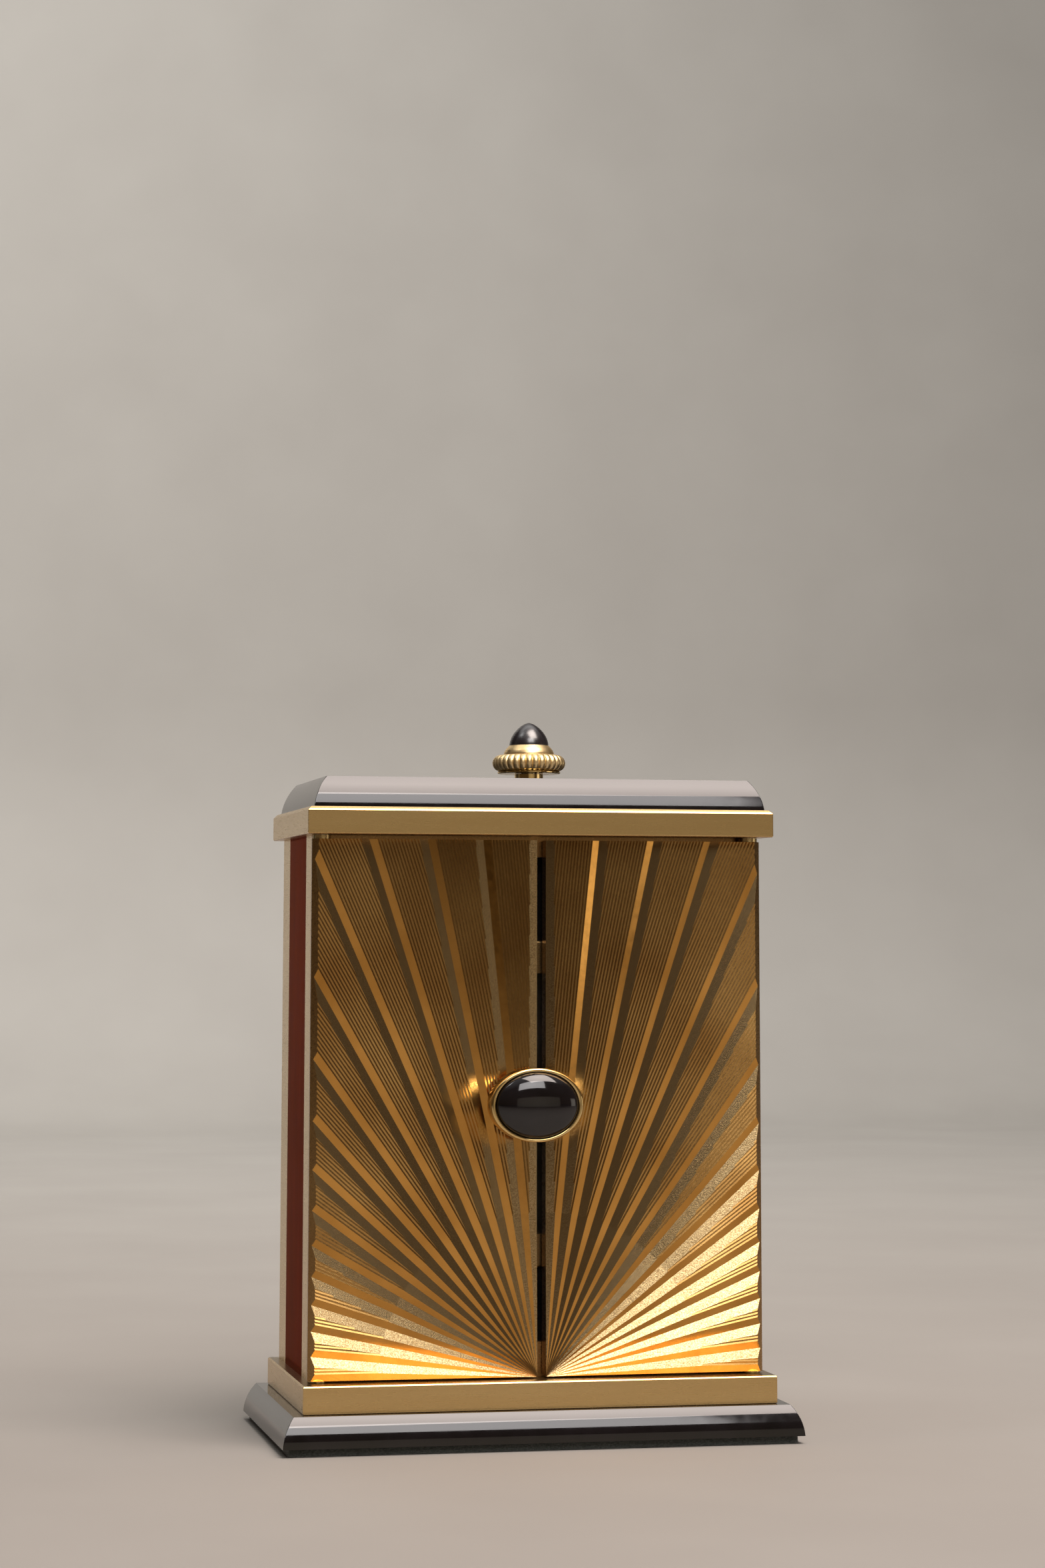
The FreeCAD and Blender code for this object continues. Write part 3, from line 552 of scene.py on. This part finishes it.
# Case
def flank(run, tall, steps=14):
    """(inset, height) points up the bulging flank of a moulding that leans in by its run."""
    length = hypot(run, tall)
    radius = (length ** 2 / 4 + MOULDING_BULGE ** 2) / 2 / MOULDING_BULGE
    turn = 2 * atan2(2 * MOULDING_BULGE, length)
    lean = atan2(run, tall)
    points = []
    for k in range(steps):
        angle = turn * (2 * k / steps - 1)
        along = length / 2 + radius * sin(angle)
        out = radius * (cos(angle) - cos(turn))
        inset = along * sin(lean) - out * cos(lean)
        points.append((inset, along * cos(lean) + out * sin(lean)))
    return points + [(run, tall)]


def block(name, node, rows, finish, corner=MITRE_ROUND, top=None, foot=None):
    """Stack of rounded rectangles in the case; each row is (inset, height above the foot).

    The top face, and the foot with the arris above it, may have a material of their own, which the
    bands use for painted shade.
    """
    low, high = span(node)
    half_x, half_y = (high.x - low.x) / 2, (high.y - low.y) / 2
    rings = [rectangle_ring(half_x - inset, half_y - inset, low.z + up, corner)
             for inset, up in rows]
    points, faces = lofted(rings)
    foot_faces = len(rings[0]) + 1
    indices = [2] * foot_faces + [0] * (len(faces) - foot_faces - 1) + [1]
    finishes = [finish, top or finish, foot or finish]
    made(name, points, faces, "case", node, finishes, indices, smooth=20)


def height_of(node):
    """Height of a CAD node."""
    low, high = span(node)
    return high.z - low.z


def mouldings():
    """Plinth below and top slab above."""
    for name, node, run in (("plinth_moulding", "plinth", PLINTH_RUN),
                            ("slab_moulding", "top_slab", SLAB_RUN)):
        block(name, node, flank(run, height_of(node)), "onyx")


def bands():
    """Lower and upper band, with softened arrises; each band's foot and arris, and the lower
    band's top, get darker gilt as painted shade.
    """
    for name, node, chamfer, top in (
            ("lower_band_bar", "lower_band", LOWER_BAND_CHAMFER, "painted_shade_gilt"),
            ("upper_band_bar", "upper_band", UPPER_BAND_CHAMFER, "satin_gilt")):
        tall = height_of(node)
        rows = [(BAND_ARRIS, 0), (BAND_SOFT, BAND_ARRIS - BAND_SOFT), (0, BAND_ARRIS + BAND_SOFT),
                (0, tall - chamfer - BAND_SOFT), (BAND_SOFT / 2, tall - chamfer),
                (chamfer - BAND_SOFT, tall - BAND_SOFT), (chamfer + BAND_SOFT, tall)]
        block(name, node, rows, "satin_gilt", top=top, foot="edge_gilt_and_painted_shade")


def felt_sheet():
    """Felt under the plinth, with softened edges."""
    tall = height_of("felt_pad")
    rows = [(FELT_INSET, 0), (0, FELT_EDGE), (0, tall - FELT_EDGE), (FELT_INSET, tall)]
    block("felt_sheet", "felt_pad", rows, "felt", FELT_CORNER)


# Cabochon
def oval_skin(rows, centre, half_x, half_z):
    """Points and faces of an oval piece; rows are (inset in x, inset in z, depth)."""
    turns = [2 * pi * k / OVAL_STEPS for k in range(OVAL_STEPS)]
    return lofted([[(centre.x + (half_x - inset_x) * cos(turn), y,
                     centre.z + (half_z - inset_z) * sin(turn)) for turn in turns]
                   for inset_x, inset_z, y in rows])


def cabochon():
    """Collet with a rounded lip, and the domed oval stone in it."""
    low, high = span("cabochon_bezel")
    stone_low, stone_high = span("cabochon_stone")
    centre = (low + high) / 2
    half_x, half_z = (high.x - low.x) / 2, (high.z - low.z) / 2
    lip = low.y + BEZEL_LIP
    base = stone_high.y
    rows = [(COLLET_TAPER, COLLET_TAPER, base + COLLET_BACK), (0, 0, base + COLLET_SHOULDER),
            (0, 0, lip)]
    steps = 8
    for k in range(1, steps + 1):
        turn = pi * k / steps
        share = (1 - cos(turn)) / 2
        rows.append((BEZEL_SIDE_WALL * share, BEZEL_TOP_WALL * share, lip - BEZEL_LIP * sin(turn)))
    rows.append((BEZEL_SIDE_WALL, BEZEL_TOP_WALL, base))
    points, faces = oval_skin(rows, centre, half_x, half_z)
    made("cabochon_collet", points, faces, "left_door", "cabochon_bezel",
         ["polished_gilt"], smooth=40)
    half_x -= BEZEL_SIDE_WALL
    half_z -= BEZEL_TOP_WALL
    girdle = low.y + BEZEL_LIP * GIRDLE_SHARE
    rise = girdle - stone_low.y
    rows = [(0, 0, base), (0, 0, girdle)]
    steps = 24
    for k in range(1, steps):
        turn = pi / 2 * k / steps
        inset = 1 - cos(turn)
        rows.append((half_x * inset, half_z * inset, girdle - rise * sin(turn)))
    rows.append((half_x * DOME_CLOSE, half_z * DOME_CLOSE, stone_low.y))
    points, faces = oval_skin(rows, centre, half_x, half_z)
    made("cabochon_dome", points, faces, "left_door", "cabochon_stone", ["onyx"], smooth=50)


# Crown
def collar_profile(low, high):
    """Cup that widens upwards with a slight bulge."""
    base = (high.x - low.x) / 2
    tall = high.z - low.z
    profile = [(COLLAR_HOLE, low.z), (base, low.z), (base, low.z + COLLAR_FOOT)]
    steps = 8
    for k in range(1, steps + 1):
        share = k / steps
        profile.append((base + (COLLAR_TOP - base) * share + COLLAR_BULGE * sin(pi * share),
                        low.z + COLLAR_FOOT + (tall - COLLAR_FOOT - COLLAR_RIM_HIGH) * share))
    return profile + [(COLLAR_TOP - COLLAR_RIM_INSET, high.z), (COLLAR_WELL, high.z)]


def bullet_profile(low, high):
    """Straight foot and a pointed round head."""
    r = (high.x - low.x) / 2
    foot = low.z + BULLET_SEAT
    profile = [(r - EDGE_BREAK, low.z), (r, low.z + EDGE_BREAK), (r, foot)]
    steps = 28
    for k in range(1, steps):
        share = k / steps
        reach = r * (1 - share ** BULLET_BELLY) ** BULLET_NOSE
        profile.append((reach, foot + (high.z - foot) * share))
    return profile + [(BULLET_TIP, high.z)]


def flange_profile(low, high):
    """Flat disc with broken edges."""
    r = (high.x - low.x) / 2
    return [(COLLAR_HOLE, low.z), (r - EDGE_BREAK, low.z), (r, low.z + EDGE_BREAK),
            (r, high.z - EDGE_BREAK), (r - EDGE_BREAK, high.z), (COLLAR_HOLE, high.z)]


def crown():
    """Ribbed wheel, collar, bullet stone and flange on one axis."""
    low, high = span("crown_wheel")
    axis = (low + high) / 2
    radius, tall = (high.x - low.x) / 2, high.z - low.z
    tread = tall / 2 * WHEEL_TREAD

    def rib(angle, r):
        """Round ribs that fade towards the flat faces."""
        share = max(0.0, (r - radius * RIB_START) / (radius * (1 - RIB_START)))
        return r - RIB_DEPTH * share * (1 - abs(cos(CROWN_RIBS * angle / 2)) ** RIB_CURVE)

    profile = [(WHEEL_HOLE, low.z), (radius - WHEEL_FACE_INSET, low.z)]
    profile += arc_points((radius - tread, axis.z), tread, -80, 80, 16)
    profile += [(radius - WHEEL_FACE_INSET, high.z), (WHEEL_HOLE, high.z)]
    points, faces = turned(profile, CROWN_RIBS * RIB_STEPS, axis, rib)
    made("crown_ribs", points, faces, "crown", "crown_wheel", ["crown_gilt"],
         smooth=35)
    for name, node, shape, slot, finish, smooth in (
            ("crown_cup", "crown_collar", collar_profile, "polished_gilt", "crown_gilt", 35),
            ("crown_bullet", "crown_stone", bullet_profile, "onyx", "bullet_onyx", 60),
            ("crown_flange", "crown_lip", flange_profile, "polished_gilt", "polished_gilt", 35)):
        points, faces = turned(shape(*span(node)), TURNED_STEPS, axis)
        made(name, points, faces, "crown", node, [finish], smooth=smooth)


# Finish of the CAD nodes that stay
def dress():
    """Material of its slot for each CAD node, and painted shade: a darker gilt on the frame and
    dial bezel that show in the gap between the doors.
    """
    finishes = {part["node"]: part["material_slot"] for part in frame["record"]["subparts"]}
    # Painted shade: the frame and dial bezel seen through the gap get darker gilt.
    finishes["front_frame"] = "edge_gilt_and_painted_shade"
    finishes["dial_bezel"] = "painted_shade_gilt"
    for name, thing in frame["nodes"].items():
        thing.data.materials.clear()
        thing.data.materials.append(MATERIALS.get(finishes[name], MATERIALS["edge_gilt_and_painted_shade"]))
        thing.data.shade_smooth()
        thing.data.set_sharp_from_angle(angle=radians(32))


# Stage, light and camera
def stage():
    """Floor, darker in front of the picture, that sweeps up into a pale backdrop."""
    rows = [(FLOOR_FRONT, 0.0), (FLOOR_BACK - FLOOR_SWEEP, 0.0)]
    steps = 16
    for k in range(1, steps + 1):
        turn = pi / 2 * k / steps
        rows.append((FLOOR_BACK - FLOOR_SWEEP * (1 - sin(turn)), FLOOR_SWEEP * (1 - cos(turn))))
    rows.append((FLOOR_BACK, BACKDROP_TALL))
    sides = (-FLOOR_HALF_WIDE, FLOOR_HALF_WIDE)
    points = [Vector((x, y, z)) * MM for y, z in rows for x in sides]
    faces = [[2 * k, 2 * k + 1, 2 * k + 3, 2 * k + 2] for k in range(len(rows) - 1)]
    mesh = bpy.data.meshes.new("floor")
    mesh.from_pydata(points, [], faces)
    mesh.shade_smooth()
    material = bpy.data.materials.new("floor")
    tree, shader = nodes_of(material)
    fine = noise(tree, 0.02, 3.0)
    pale = ramp(tree, fine, [(0.3, (0.31, 0.29, 0.266)), (0.7, (0.33, 0.31, 0.285))])
    depth = coordinate(tree, "Object", "Y")
    share = spread(tree, depth, 0.0, 1.0, FLOOR_DARK_Y * MM, FLOOR_PALE_Y * MM)
    tone = blended(tree, share, (0.07, 0.052, 0.036), pale)
    tree.links.new(tone, shader.inputs["Base Color"])
    shader.inputs["Roughness"].default_value = 0.75
    mesh.materials.append(material)
    floor = bpy.data.objects.new("floor", mesh)
    bpy.context.scene.collection.objects.link(floor)


def surround():
    """Dim room: warm low down in front, paler above and behind."""
    world = bpy.data.worlds.new("studio")
    bpy.context.scene.world = world
    world.use_nodes = True
    tree = world.node_tree
    background = next(n for n in tree.nodes if n.type == "BACKGROUND")
    up = coordinate(tree, "Generated", "Z")
    front = ramp(tree, up, [(0.0, (0.06, 0.038, 0.018)), (0.6, (0.09, 0.075, 0.065)),
                            (1.0, (0.6, 0.6, 0.6))])
    share = spread(tree, coordinate(tree, "Generated", "Y"), 0.0, 1.0, 0.0, 0.55)
    tone = blended(tree, share, front, (0.45, 0.44, 0.43))
    tree.links.new(tone, background.inputs["Color"])
    background.inputs["Strength"].default_value = 1.0


def lamp(name, place, target, size, power, spread_angle, colour):
    """Rectangular soft box that sends its light within the spread angle."""
    data = bpy.data.lights.new(name, "AREA")
    data.shape = "RECTANGLE"
    data.size, data.size_y = size[0] * MM, size[1] * MM
    data.energy = power
    data.color = colour
    data.spread = radians(spread_angle)
    thing = bpy.data.objects.new(name, data)
    thing.location = Vector(place) * MM
    thing.rotation_euler = (Vector(target) - Vector(place)).to_track_quat("-Z", "Y").to_euler()
    bpy.context.scene.collection.objects.link(thing)


def lights():
    """Window in two parts high in front, a box overhead, two faint warm ones low, one behind."""
    for row in (
            ("window_low", (19, -485, 412), (0, 0, 45), (336, 215), 0.55, 120, (1.0, 0.96, 0.95)),
            ("window_high", (140, -280, 685), (10, 0, 50), (450, 490), 2.7, 120, (1.0, 0.87, 0.8)),
            ("overhead_box", (0, 300, 640), (0, 290, 0), (800, 420), 0.5, 90, (1.0, 0.98, 0.95)),
            ("front_glow", (105, -590, 78), (0, 0, 40), (520, 160), 0.025, 100, (1.0, 0.88, 0.7)),
            ("right_strip", (580, -220, 75), (0, 0, 45), (260, 150), 0.026, 80, (1.0, 0.9, 0.78)),
            ("backdrop_box", (-500, 250, 900), (100, 900, 350), (700, 700), 6.0, 90,
             (1.0, 1.0, 0.98))):
        lamp(*row)


def camera():
    """Camera of the photograph; the vertical shift stands for the picture's crop."""
    data = bpy.data.cameras.new("camera")
    data.sensor_width = SENSOR
    data.lens = FOCAL_PIXELS * SENSOR / IMAGE_HIGH
    data.shift_y = (AXIS_PIXEL_Y - IMAGE_HIGH / 2) / IMAGE_HIGH
    data.clip_start, data.clip_end = 0.01, 20.0
    forward = Vector((sin(CAMERA_YAW) * cos(CAMERA_PITCH),
                      cos(CAMERA_YAW) * cos(CAMERA_PITCH), sin(CAMERA_PITCH)))
    level = forward.cross(Vector((0, 0, 1))).normalized()
    above = level.cross(forward)
    right = level * cos(CAMERA_ROLL) + above * sin(CAMERA_ROLL)
    up = above * cos(CAMERA_ROLL) - level * sin(CAMERA_ROLL)
    turn = Matrix((right, up, -forward)).transposed()
    thing = bpy.data.objects.new("camera", data)
    thing.matrix_world = Matrix.Translation(Vector(CAMERA_PLACE) * MM) @ turn.to_4x4()
    bpy.context.scene.collection.objects.link(thing)
    bpy.context.scene.camera = thing


bpy.context.scene.view_settings.view_transform = "Standard"
dress()
mouldings()
bands()
felt_sheet()
door(-1, "left_door_panel", "left_door")
door(1, "right_door_panel", "right_door")
cabochon()
crown()
stage()
surround()
lights()
camera()
